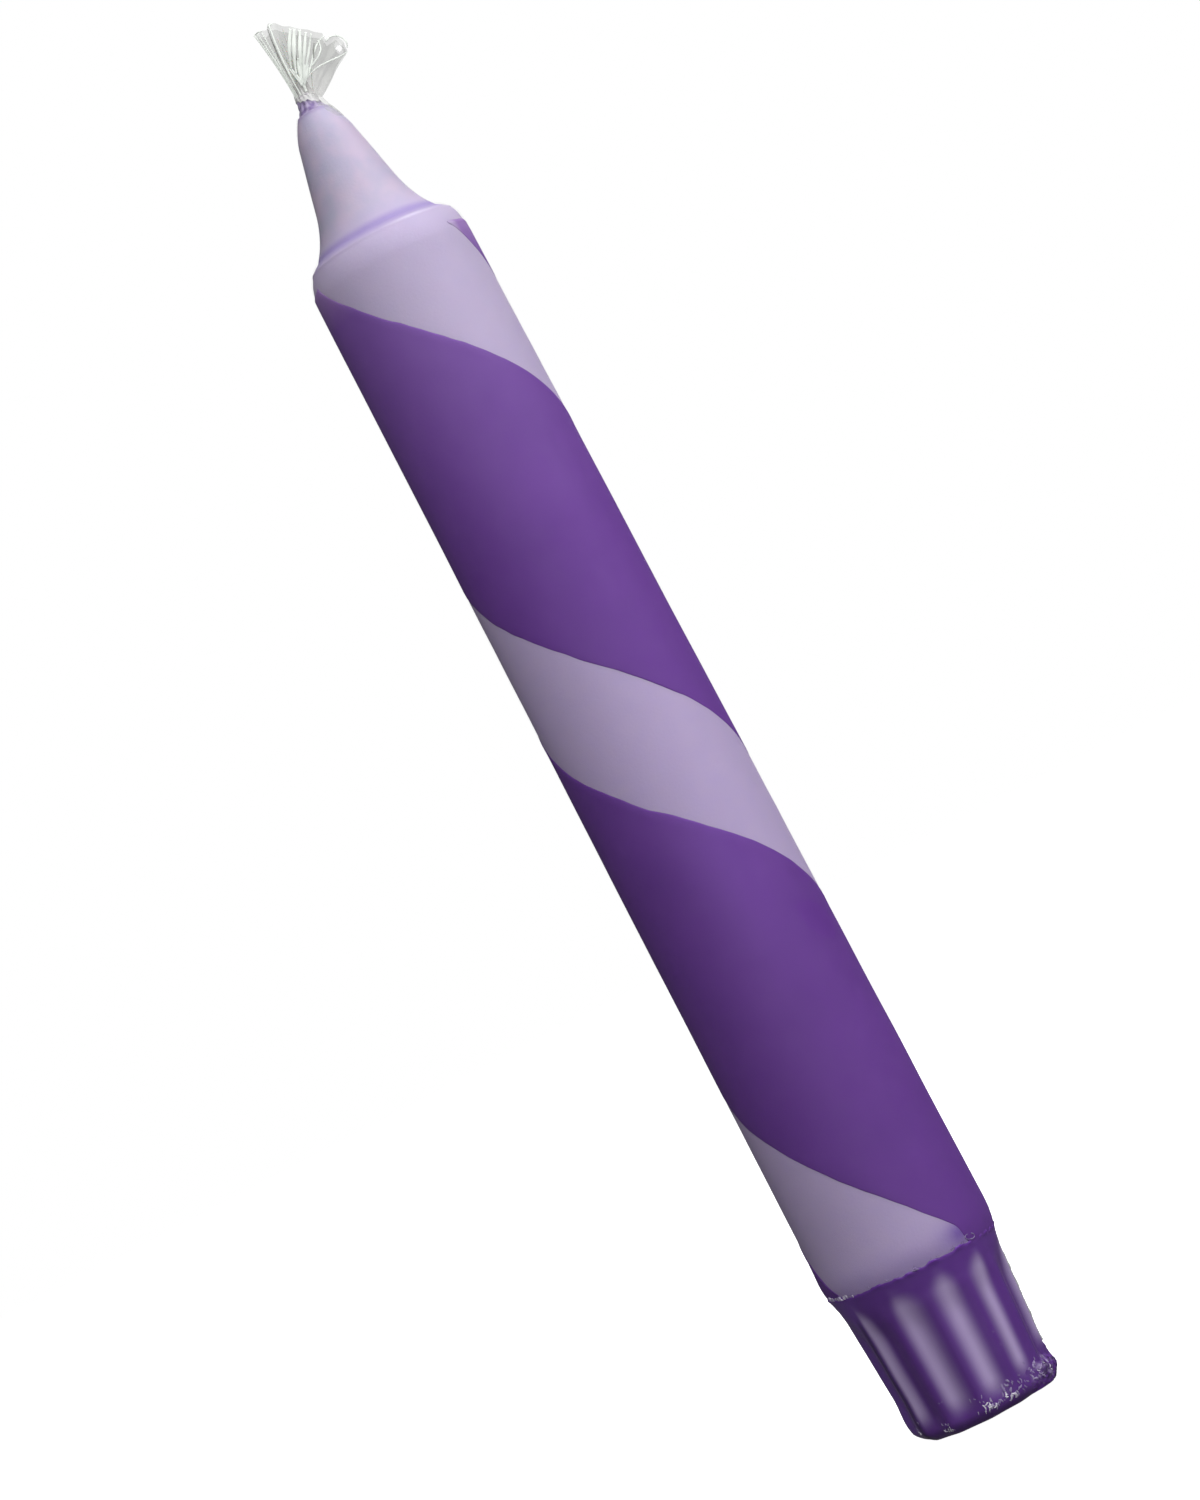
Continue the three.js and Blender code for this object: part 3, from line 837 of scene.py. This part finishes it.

# Folds that catch the light, as pale strands, partly folded film and partly painted highlight, with a painted
# glow, by their points in x and z and half their width at both ends
TUFT_CREASES = (
    (((-1.05, 182.3), (-1.3, 187.3), (-2.03, 191.9)), 0.11, 0.17),
    (((-0.9, 182.4), (-1.12, 187.2), (-1.6, 191.85)), 0.07, 0.14),
    (((-0.75, 182.4), (-0.88, 187.2), (-1.05, 191.7)), 0.06, 0.12),
    (((-0.3, 182.5), (-0.34, 187.2), (0.15, 192.1)), 0.10, 0.17),
    (((0.6, 183.1), (0.42, 184.6), (0.11, 186.3)), 0.14, 0.10),
    (((0.35, 183.6), (0.2, 184.9), (-0.1, 186.2)), 0.17, 0.12),
    (((0.5, 182.7), (0.62, 183.9), (0.85, 185.2)), 0.22, 0.20),
    (((0.62, 183.7), (0.85, 185.0), (1.4, 186.9)), 0.20, 0.24),
    (((0.66, 183.7), (1.25, 184.7), (1.85, 186.2)), 0.20, 0.28),
    (((0.72, 183.6), (1.6, 184.7), (2.3, 186.0)), 0.16, 0.20),
    (((0.15, 186.0), (1.0, 188.3), (2.3, 190.55)), 0.13, 0.30),
    (((0.38, 185.2), (1.4, 187.8), (2.75, 190.3)), 0.14, 0.34),
    (((0.74, 184.5), (1.95, 187.2), (3.25, 189.9)), 0.15, 0.34),
    (((0.9, 184.5), (2.4, 187.0), (3.8, 189.3)), 0.15, 0.26),
    (((1.1, 184.5), (2.9, 186.8), (4.3, 188.85)), 0.13, 0.15),
    (((0.6, 183.8), (2.97, 185.9), (4.0, 187.0), (5.6, 187.8)), 0.11, 0.14),
    (((1.64, 184.8), (2.84, 185.37), (4.17, 186.19), (4.67, 187.73)), 0.10, 0.11),
    (((1.27, 184.1), (4.02, 184.76), (5.79, 184.68), (7.3, 184.75)), 0.07, 0.09),
    (((5.5, 187.1), (6.3, 187.4), (7.5, 186.6), (7.45, 185.2)), 0.12, 0.12),
    (((-2.0, 191.85), (-1.4, 192.0), (-0.9, 191.95)), 0.09, 0.09),
    (((-0.1, 191.95), (0.2, 192.15), (0.65, 192.1)), 0.10, 0.10),
)

# Folds seen edge on, as dark strips of painted shadow
FOLD_SHADOWS = (
    (((-0.54, 182.9), (-0.6, 186.9), (-0.48, 189.4), (-0.2, 191.8)), 0.04, 0.08),
    (((1.22, 186.7), (1.4, 187.3), (1.62, 188.0)), 0.09, 0.09),
    (((3.2, 186.0), (3.55, 186.7), (4.1, 187.6)), 0.08, 0.08),
    (((2.1, 188.1), (2.5, 188.9), (3.0, 189.8)), 0.03, 0.04),
)

# Crumpled film round the foot's rim, painted pale as glints: its angle and the spread of it, its lowest and
# highest z, its smallest and largest length, and how many
GLINT_FLECKS = (
    (-6, 5, 1.2, 2.3, 0.35, 0.75, 8),
    (21, 4, 1.3, 2.9, 0.4, 1.0, 7),
    (-37, 2.5, 0.8, 1.5, 0.3, 0.6, 6),
    (-68, 1.5, 1.8, 3.0, 0.25, 0.5, 3),
    (60, 6, 1.0, 3.4, 0.3, 0.6, 6),
)
FAINT_SCRAPS = (
    (14, 15, 0.8, 3.4, 0.2, 0.7, 46),
    (48, 7, 1.2, 4.2, 0.3, 0.8, 22),
    (-38, 5, 0.8, 2.2, 0.2, 0.4, 8),
    (-66, 4, 1.0, 4.0, 0.2, 0.5, 6),
    (-30, 2, 4.0, 4.8, 0.15, 0.25, 2),
    (26, 3, 7.0, 9.5, 0.15, 0.3, 3),
)

# Crumbs along the dip's edge: their angle and the spread of it, their size, and how many
DIP_CRUMBS = (
    (-72, 4, 0.6, 9),
    (-62, 4, 0.6, 10),
    (-52, 5, 0.5, 9),
    (-32, 1, 0.4, 3),
    (-19, 1, 0.35, 2),
    (-1, 1.3, 0.65, 5),
    (12, 6, 0.25, 4),
    (24, 4, 0.4, 5),
    (34, 3, 0.35, 4),
)

# The curl's turn in degrees and its size, the bead's and the seam's turn, the seam's top and bottom, and the
# middle and half size of the hole in x and z
DIP_CURL = (42, 0.66)
BEAD_TURN = 73
SEAM_TURN = math.radians(88)
SEAM_ENDS = (19.2, 4.6)
FILM_HOLE = (6.55, 185.65)
FILM_HOLE_SIZE = (0.42, 0.62)


def curve_through(points, count):
    """Smooth curve through a few points, by their own polynomial over the length between them."""
    points = np.array(points, float)
    reach = np.concatenate([[0], np.cumsum(np.linalg.norm(np.diff(points, axis=0), axis=1))])
    reach /= reach[-1]
    at = np.linspace(0, 1, count)
    fits = [np.polyfit(reach, points[:, k], len(points) - 1) for k in range(points.shape[1])]
    return np.column_stack([np.polyval(fit, at) for fit in fits])


def wick_path(along):
    """Place in x and z of the wick's middle, which bends over above the neck."""
    over = np.maximum(0, along - WICK_STRAIGHT)
    lean = np.minimum(over / WICK_BEND_RADIUS, WICK_LEAN)
    rest = over - lean * WICK_BEND_RADIUS
    x = WICK_BEND_RADIUS * (1 - np.cos(lean)) + rest * np.sin(lean)
    z = np.minimum(along, WICK_STRAIGHT) + WICK_BEND_RADIUS * np.sin(lean) + rest * np.cos(lean)
    return x, z


def fibre(root, lean, draw):
    """One loose fibre, from a place on a ply up into the gathered film."""
    out = np.linspace(0, 1, 30)[:, None]
    tip = np.array([lean * 3.2, draw.uniform(-0.5, 0.3), draw.uniform(5.0, 7.4)])
    wave = 0.08 * np.sin(out * draw.uniform(3, 6) + draw.uniform(0, 6)) * out
    path = root + out * tip + np.array([0.3 * lean, 0.3, 0]) * out**2 + wave * np.array([1, 0.7, 0])
    return tube(path, 0.11 - 0.06 * out[:, 0], sides=6)


def add_wick():
    """Three twisted plies that thin out and fray into fibres inside the gathered film."""
    draw = np.random.RandomState(61)
    plies, fibres = 3, 4
    along = np.linspace(WICK_START, WICK_TOP, 420)
    x, z = wick_path(along)
    thin = np.clip((along - FRAY_START) / (WICK_TOP - FRAY_START), 0, 1)
    apart = PLY_APART - 0.15 * thin
    for ply in range(plies):
        twist = 2 * math.pi * along / TWIST_PITCH + 2 * math.pi * ply / plies
        points = np.column_stack([x + apart * np.cos(twist), apart * np.sin(twist), z])
        parts = [tube(points, PLY_RADIUS - 0.2 * thin, sides=12)]
        for index in range(fibres):
            root = points[int(draw.uniform(0.96, 0.985) * len(points))]
            share = (plies * index + ply + draw.uniform(-0.3, 0.3)) / (plies * fibres - 1)
            parts.append(fibre(root, -0.15 + 0.85 * share, draw))
        piece = make_object(f"wick_yarn_{ply + 1}", *join(parts), COTTON, "cotton")
        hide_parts(f"wick_ply_{ply + 1}")


def rib_points(share, out):
    """Place in x and z on the fan of ribs, by the share of its width and of its height."""
    ribs = np.reshape(TUFT_RIBS, (-1, 3, 2))
    at = share * (len(ribs) - 1)
    foot, middle, tip = (
        np.stack([np.interp(at, np.arange(len(ribs)), ribs[:, point, axis]) for axis in (0, 1)], axis=-1)
        for point in range(3)
    )
    out = out[..., None]
    pull = 2 * middle - (foot + tip) / 2
    return (1 - out) ** 2 * foot + 2 * (1 - out) * out * pull + out**2 * tip


def fold_strand(points, foot_width, tip_width, front, off):
    """A flat strand along points in x and z, just in front of the tuft's front wall and so a little lower."""
    path = curve_through(points, 34)
    out = np.linspace(0, 1, len(path))
    apart = np.linalg.norm(path[:, None] - front[None, :, ::2], axis=2)
    depth = front[np.argsort(apart, axis=1)[:, :6], 1].min(axis=1)
    depth = np.convolve(np.pad(depth, 4, mode="edge"), np.ones(9) / 9, mode="valid") - off
    ends = np.sin(math.pi * np.clip(out, 0.16, 0.9)) ** 0.5
    radii = (foot_width + (tip_width - foot_width) * out) * ends + 0.01
    drop = 0.23 * np.maximum(0, -depth - 0.3)
    return tube(np.column_stack([path[:, 0], depth, path[:, 1] - drop]), radii, sides=8, flat=0.3)


def add_tuft_wall(name, side, fold):
    """One wall of the gathered film, towards -Y or +Y, folded to a depth along its ribs, with its hole."""
    panels = len(TUFT_RIBS) - 1
    columns, rows = 8 * panels + 1, 40
    share = np.broadcast_to(np.linspace(0, 1, columns)[None, :], (rows, columns))
    ragged = 0.012 * (1 + np.sin(share * 61 + side)) * (0.5 + 0.5 * np.sin(share * 23)) + 0.02 * (side + 1)
    out = np.linspace(0, 1, rows)[:, None] * (1 - ragged)
    plane = rib_points(share, out)
    zigzag = 2 * np.abs((share * panels + (side > 0)) % 2 - 1) - 1
    swell = np.sin(math.pi * np.clip(share, 0.001, 0.999)) ** 0.5
    depth = side * swell * (1.15 + 0.5 * np.sin(math.pi * out * 0.8)) + fold * zigzag * out**0.7
    points = np.stack([plane[..., 0], depth, plane[..., 1]], axis=-1)
    points[..., 1] += 0.05 * ripple(points, 3.0, 42)
    points = points.reshape(-1, 3)
    faces = np.array(grid_faces(rows, columns, wrap_columns=False))
    away = (points[faces].mean(axis=1)[:, ::2] - FILM_HOLE) / FILM_HOLE_SIZE
    faces = faces[(away**2).sum(axis=1) > 1].tolist()
    return make_object(name, points, faces, TUFT_FILM, "clear_film", rounded=False), points


def add_film_tuft():
    """The gathered end of the film: a front and a back wall, and its sharp folds."""
    wall, front = add_tuft_wall("film_tuft_front", -1, 0.32)
    back, _ = add_tuft_wall("film_tuft_back", 1, 0.16)
    pieces = [wall, back]
    for name, folds, off, film in (
        ("film_tuft_creases", TUFT_CREASES, 0.14, CREASED_FILM),
        ("film_tuft_fold_shadows", FOLD_SHADOWS, 0.2, FOLD_SHADOW_FILM),
    ):
        strands = [fold_strand(*fold, front, off) for fold in folds]
        pieces.append(make_object(name, *join(strands), film, "clear_film"))
    for piece in pieces:
        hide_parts("film_tuft")
    return pieces


# Heights and radii of the film that stands off the tip
NECK_HEIGHTS = (176.4, 177.0, 178.0, 179.0, 180.0, 181.2, 182.2)
NECK_RADII = (3.64, 3.45, 3.13, 2.7, 2.1, 1.62, 1.42)


def add_neck_film():
    """Film that stands off the tip on the right, between the tip and the neck."""
    bottom, top = NECK_HEIGHTS[0], NECK_HEIGHTS[-1]
    z = np.linspace(bottom, top, 60)[:, None]
    angle = np.radians(np.linspace(35, 150, 60))[None, :]
    across = np.sin(math.pi * (angle - angle.min()) / np.ptp(angle))
    off = 0.36 * smooth((z - bottom) / 4) * smooth(1.7 * across)
    folds = 0.05 * np.cos(16 * angle + z) * smooth((z - 180) / 2)
    grid = on_candle(np.interp(z, NECK_HEIGHTS, NECK_RADII) - 0.05 + off + folds, angle, z)
    faces = grid_faces(*grid.shape[:2], wrap_columns=False)
    return make_object("film_neck", grid, faces, NECK_FILM, "clear_film")


def add_throat_film():
    """The film's tight, pleated throat round the neck, with a ragged lower edge."""
    share = np.linspace(0, 1, 30)[:, None]
    angle = np.linspace(0, 2 * math.pi, 160, endpoint=False)[None, :]
    pleats = 0.07 * np.cos(13 * angle + 2 * share + np.sin(2 * angle)) * smooth(share * 3)
    bottom = 181.4 - 0.65 * np.sin(angle) + 0.12 * np.sin(5 * angle + 1) + 0.08 * np.sin(13 * angle)
    top = 183.9 + 0.3 * np.sin(6 * angle + 2) + 0.2 * np.sin(11 * angle)
    z = bottom + (top - bottom) * share
    radius = np.maximum(1.32 - 0.35 * share, collar_radius(z) + 0.12 - smooth((z - 182) / 0.8)) + pleats
    ring = on_candle(radius, angle, z) + np.array([0.12, 0, 0]) * share[..., None]
    return lathe("film_throat", ring, THROAT_FILM, "clear_film")


def bead_stand(z, angle):
    """How far the bunched film stands out of the foot's rim."""
    creased, finely = (1 - np.abs(uneven(z, angle, *made)) ** 0.7 for made in ((1.5, 71), (0.7, 72)))
    top = 3.9 + 0.4 * uneven(z, angle, 2, 76)
    share = hump(away_from(angle, BEAD_TURN), 0, 0.36) * smooth((top - z) / 1.8)
    return share * (0.78 + 0.2 * (creased + 0.5 * finely) - 0.3 * smooth((1.7 - z) / 1.2)) - 0.06


def add_bead():
    """The bunched bead at the rim's right, which fills the round of the base there."""
    round_top = 1.7
    outline = offset(WAX, COAT_LIFT)
    outline = outline[(outline[:, 1] < 5.2) & (outline[:, 1] > 0.14)]
    reach = np.concatenate([[0], np.cumsum(np.linalg.norm(np.diff(outline, axis=0), axis=1))])
    fine = np.arange(0, reach[-1], 0.06)
    outline = np.column_stack([np.interp(fine, reach, outline[:, axis]) for axis in (0, 1)])
    short_of = np.maximum(0, radius_on(outline, round_top) - outline[:, 0][:, None])

    def stand(z, angle):
        fill = short_of * (z < round_top) * 0.65
        share = np.exp(-((away_from(angle, BEAD_TURN - 14) / 0.5) ** 4))
        return bead_stand(z, angle) + fill * share * smooth((bead_stand(z, angle) + 0.06) / 0.15)

    angles = np.radians(np.linspace(BEAD_TURN - 45, BEAD_TURN + 45, 220))
    grid = ring_grid(outline, stand, angles)
    faces = grid_faces(*grid.shape[:2], wrap_columns=False)
    piece = make_object("film_bead", grid, faces, BUNCHED_FILM, "clear_film")
    mark(piece, "bunch", smooth((bead_stand(outline[:, 1][:, None], angles[None, :]) + 0.03) / 0.35))
    return piece


def scrap(angle, z, length, draw, off=0.03):
    """One crumpled scrap that lies on the foot, as a short uneven tube."""
    out = np.linspace(-0.5, 0.5, 9)
    lean = draw.uniform(-1.2, 1.2)
    bulge = draw.uniform(-0.3, 0.3) * length * np.cos(math.pi * out)
    at_z = z + length * out * math.cos(lean) + bulge * math.sin(lean)
    at_angle = angle + (length * out * math.sin(lean) - bulge * math.cos(lean)) / MEAN_RADIUS
    under = radius_on(WAX, at_z) + COAT_LIFT - flute_cut(at_z, at_angle) + stand_out(at_z, at_angle)
    path = on_candle(under + np.maximum(0, bead_stand(at_z, at_angle)) + off, at_angle, at_z)
    thick = draw.uniform(0.12, 0.24) * length * np.sin(math.pi * (0.12 + 0.76 * (out + 0.5)))
    return tube(path, thick * draw.uniform(0.6, 1.3, 9), sides=6, flat=0.5)


def add_scraps():
    """Flecks and scraps of film round the rim, painted pale as glints, crumbs along the dip's edge, and the
    curl above it.
    """
    draw = np.random.RandomState(73)
    flecks, faint = [], []
    for groups, kept in ((GLINT_FLECKS, flecks), (FAINT_SCRAPS, faint)):
        for turn, spread, low, high, small, large, count in groups:
            for _ in range(count):
                angle = math.radians(turn + draw.normal() * spread)
                kept.append(scrap(angle, draw.uniform(low, high), draw.uniform(small, large), draw))
    for turn, spread, size, count in DIP_CRUMBS:
        for _ in range(count):
            angle = math.radians(turn + draw.uniform(-1, 1) * spread)
            z = float(dip_line(np.array([angle]))[0]) + draw.uniform(0.05, 0.35)
            # Some crumbs on the left take the pale film, painted as glints
            kept = flecks if turn < -40 and draw.uniform() < 0.5 else faint
            kept.append(scrap(angle, z, size * draw.uniform(0.5, 1), draw, off=0.1))
    faint.append(dip_curl())
    kinds = (("film_rim_glints", flecks, GLINT_FILM), ("film_rim_scraps", faint, SCRAP_FILM))
    return [make_object(name, *join(parts), film, "clear_film", rounded=False) for name, parts, film in kinds]


def dip_curl():
    """A loop of film that lies on the stripe, above the dip's edge."""
    turn, size = math.radians(DIP_CURL[0]), DIP_CURL[1]
    loop = np.linspace(0.4, 2 * math.pi - 0.3, 40)
    angle = turn + size * np.sin(loop) * 1.2 / DIP_RADIUS
    z = float(dip_line(np.array([turn]))[0]) + 0.75 * size + 0.6 * size * np.cos(loop + 0.5)
    path = on_candle(radius_on(WAX, z) + COAT_LIFT + 0.03, angle, z)
    return tube(path, 0.07 + 0.02 * np.sin(3 * loop), sides=6)


def add_seam():
    """The film's ragged seam, which stands off the flutes at the far right."""
    top, bottom = SEAM_ENDS
    z = np.linspace(top, bottom, 120)
    edge = 0.11 + 0.06 * uneven(z, SEAM_TURN, 2.4, 74) + 0.03 * uneven(z, SEAM_TURN, 0.8, 75)
    edge = np.maximum(edge, 0.03) * smooth((top - z) / 2) + 0.01
    inner = radius_on(WAX, z) + COAT_LIFT - 0.05
    outer = inner + 0.05 + edge
    corners = ((inner, -0.012), (outer, -0.002), (outer, 0.002), (inner, 0.012))
    sides = [on_candle(radius, SEAM_TURN + aside, z) for radius, aside in corners]
    return lathe("film_seam", np.stack(sides, axis=1), SEAM_FILM, "clear_film", capped=(0, len(z) - 1))


def add_loose_film():
    """The film off the tip, its throat, and the bunched bead, scraps and seam at the foot."""
    pieces = [add_neck_film(), add_throat_film(), add_bead(), *add_scraps(), add_seam()]
    for piece in pieces:
        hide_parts("film_sleeve")
    return pieces


def add_stage():
    """A pale floor that only the camera sees."""
    reach = 4.0
    corners = [(-reach, -reach, 0), (reach, -reach, 0), (reach, reach, 0), (-reach, reach, 0)]
    floor = bpy.data.meshes.new("floor")
    floor.from_pydata(corners, [], [(0, 1, 2, 3)])
    nodes = Nodes("pale_floor")
    nodes.set(Base_Color=(0.85, 0.85, 0.85, 1), Roughness=0.9)
    nodes.set(Emission_Color=(1, 1, 1, 1), Emission_Strength=1.0)
    floor.materials.append(nodes.material)
    piece = put("floor", floor)
    piece.visible_diffuse = False
    piece.visible_glossy = False


def add_light(name, place, target, size, power, tall=None, shine=True):
    """A rectangular light, in metres and watts, which may be left out of highlights."""
    data = bpy.data.lights.new(name, "AREA")
    data.shape = "RECTANGLE"
    data.size = size
    data.size_y = tall or size
    data.energy = power
    light = put(name, data)
    light.location = place
    light.rotation_euler = (Vector(target) - Vector(place)).to_track_quat("-Z", "Y").to_euler()
    light.visible_glossy = shine


def add_lights():
    add_light("key", (0.40, -0.17, 0.46), (0, 0, 0.15), 0.5, 3.1)
    add_light("front", (-0.045, -0.47, 0.48), (0, 0, 0.14), 0.55, 2.5)
    add_light("low front", (0.1, -0.7, 0.02), (0, 0, 0.02), 0.5, 0.5, tall=0.25)
    add_light("back", (0.33, 0.62, 0.3), (0, 0, 0.1), 0.3, 2.0, shine=False)


def add_world():
    """White behind the candle, and only a dim glow as light."""
    world = bpy.data.worlds.new("studio")
    bpy.context.scene.world = world
    world.use_nodes = True
    tree = world.node_tree
    path = tree.nodes.new("ShaderNodeLightPath")
    mix = tree.nodes.new("ShaderNodeMixShader")
    tree.links.new(path.outputs["Is Camera Ray"], mix.inputs["Fac"])
    glows = ((tree.nodes.new("ShaderNodeBackground"), 0.11), (tree.nodes["Background"], 1.0))
    for index, (glow, strength) in enumerate(glows, start=1):
        glow.inputs["Color"].default_value = (1, 1, 1, 1)
        glow.inputs["Strength"].default_value = strength
        tree.links.new(glow.outputs["Background"], mix.inputs[index])
    tree.links.new(mix.outputs["Shader"], tree.nodes["World Output"].inputs["Surface"])
    bpy.context.scene.view_settings.view_transform = "Standard"


add_wax_body()
add_spiral_coat()
add_foot_coat()
add_collar()
add_wick()
film = add_film_sleeve()
gathers = [*add_film_tuft(), *add_loose_film()]
add_stage()
add_lights()
add_world()
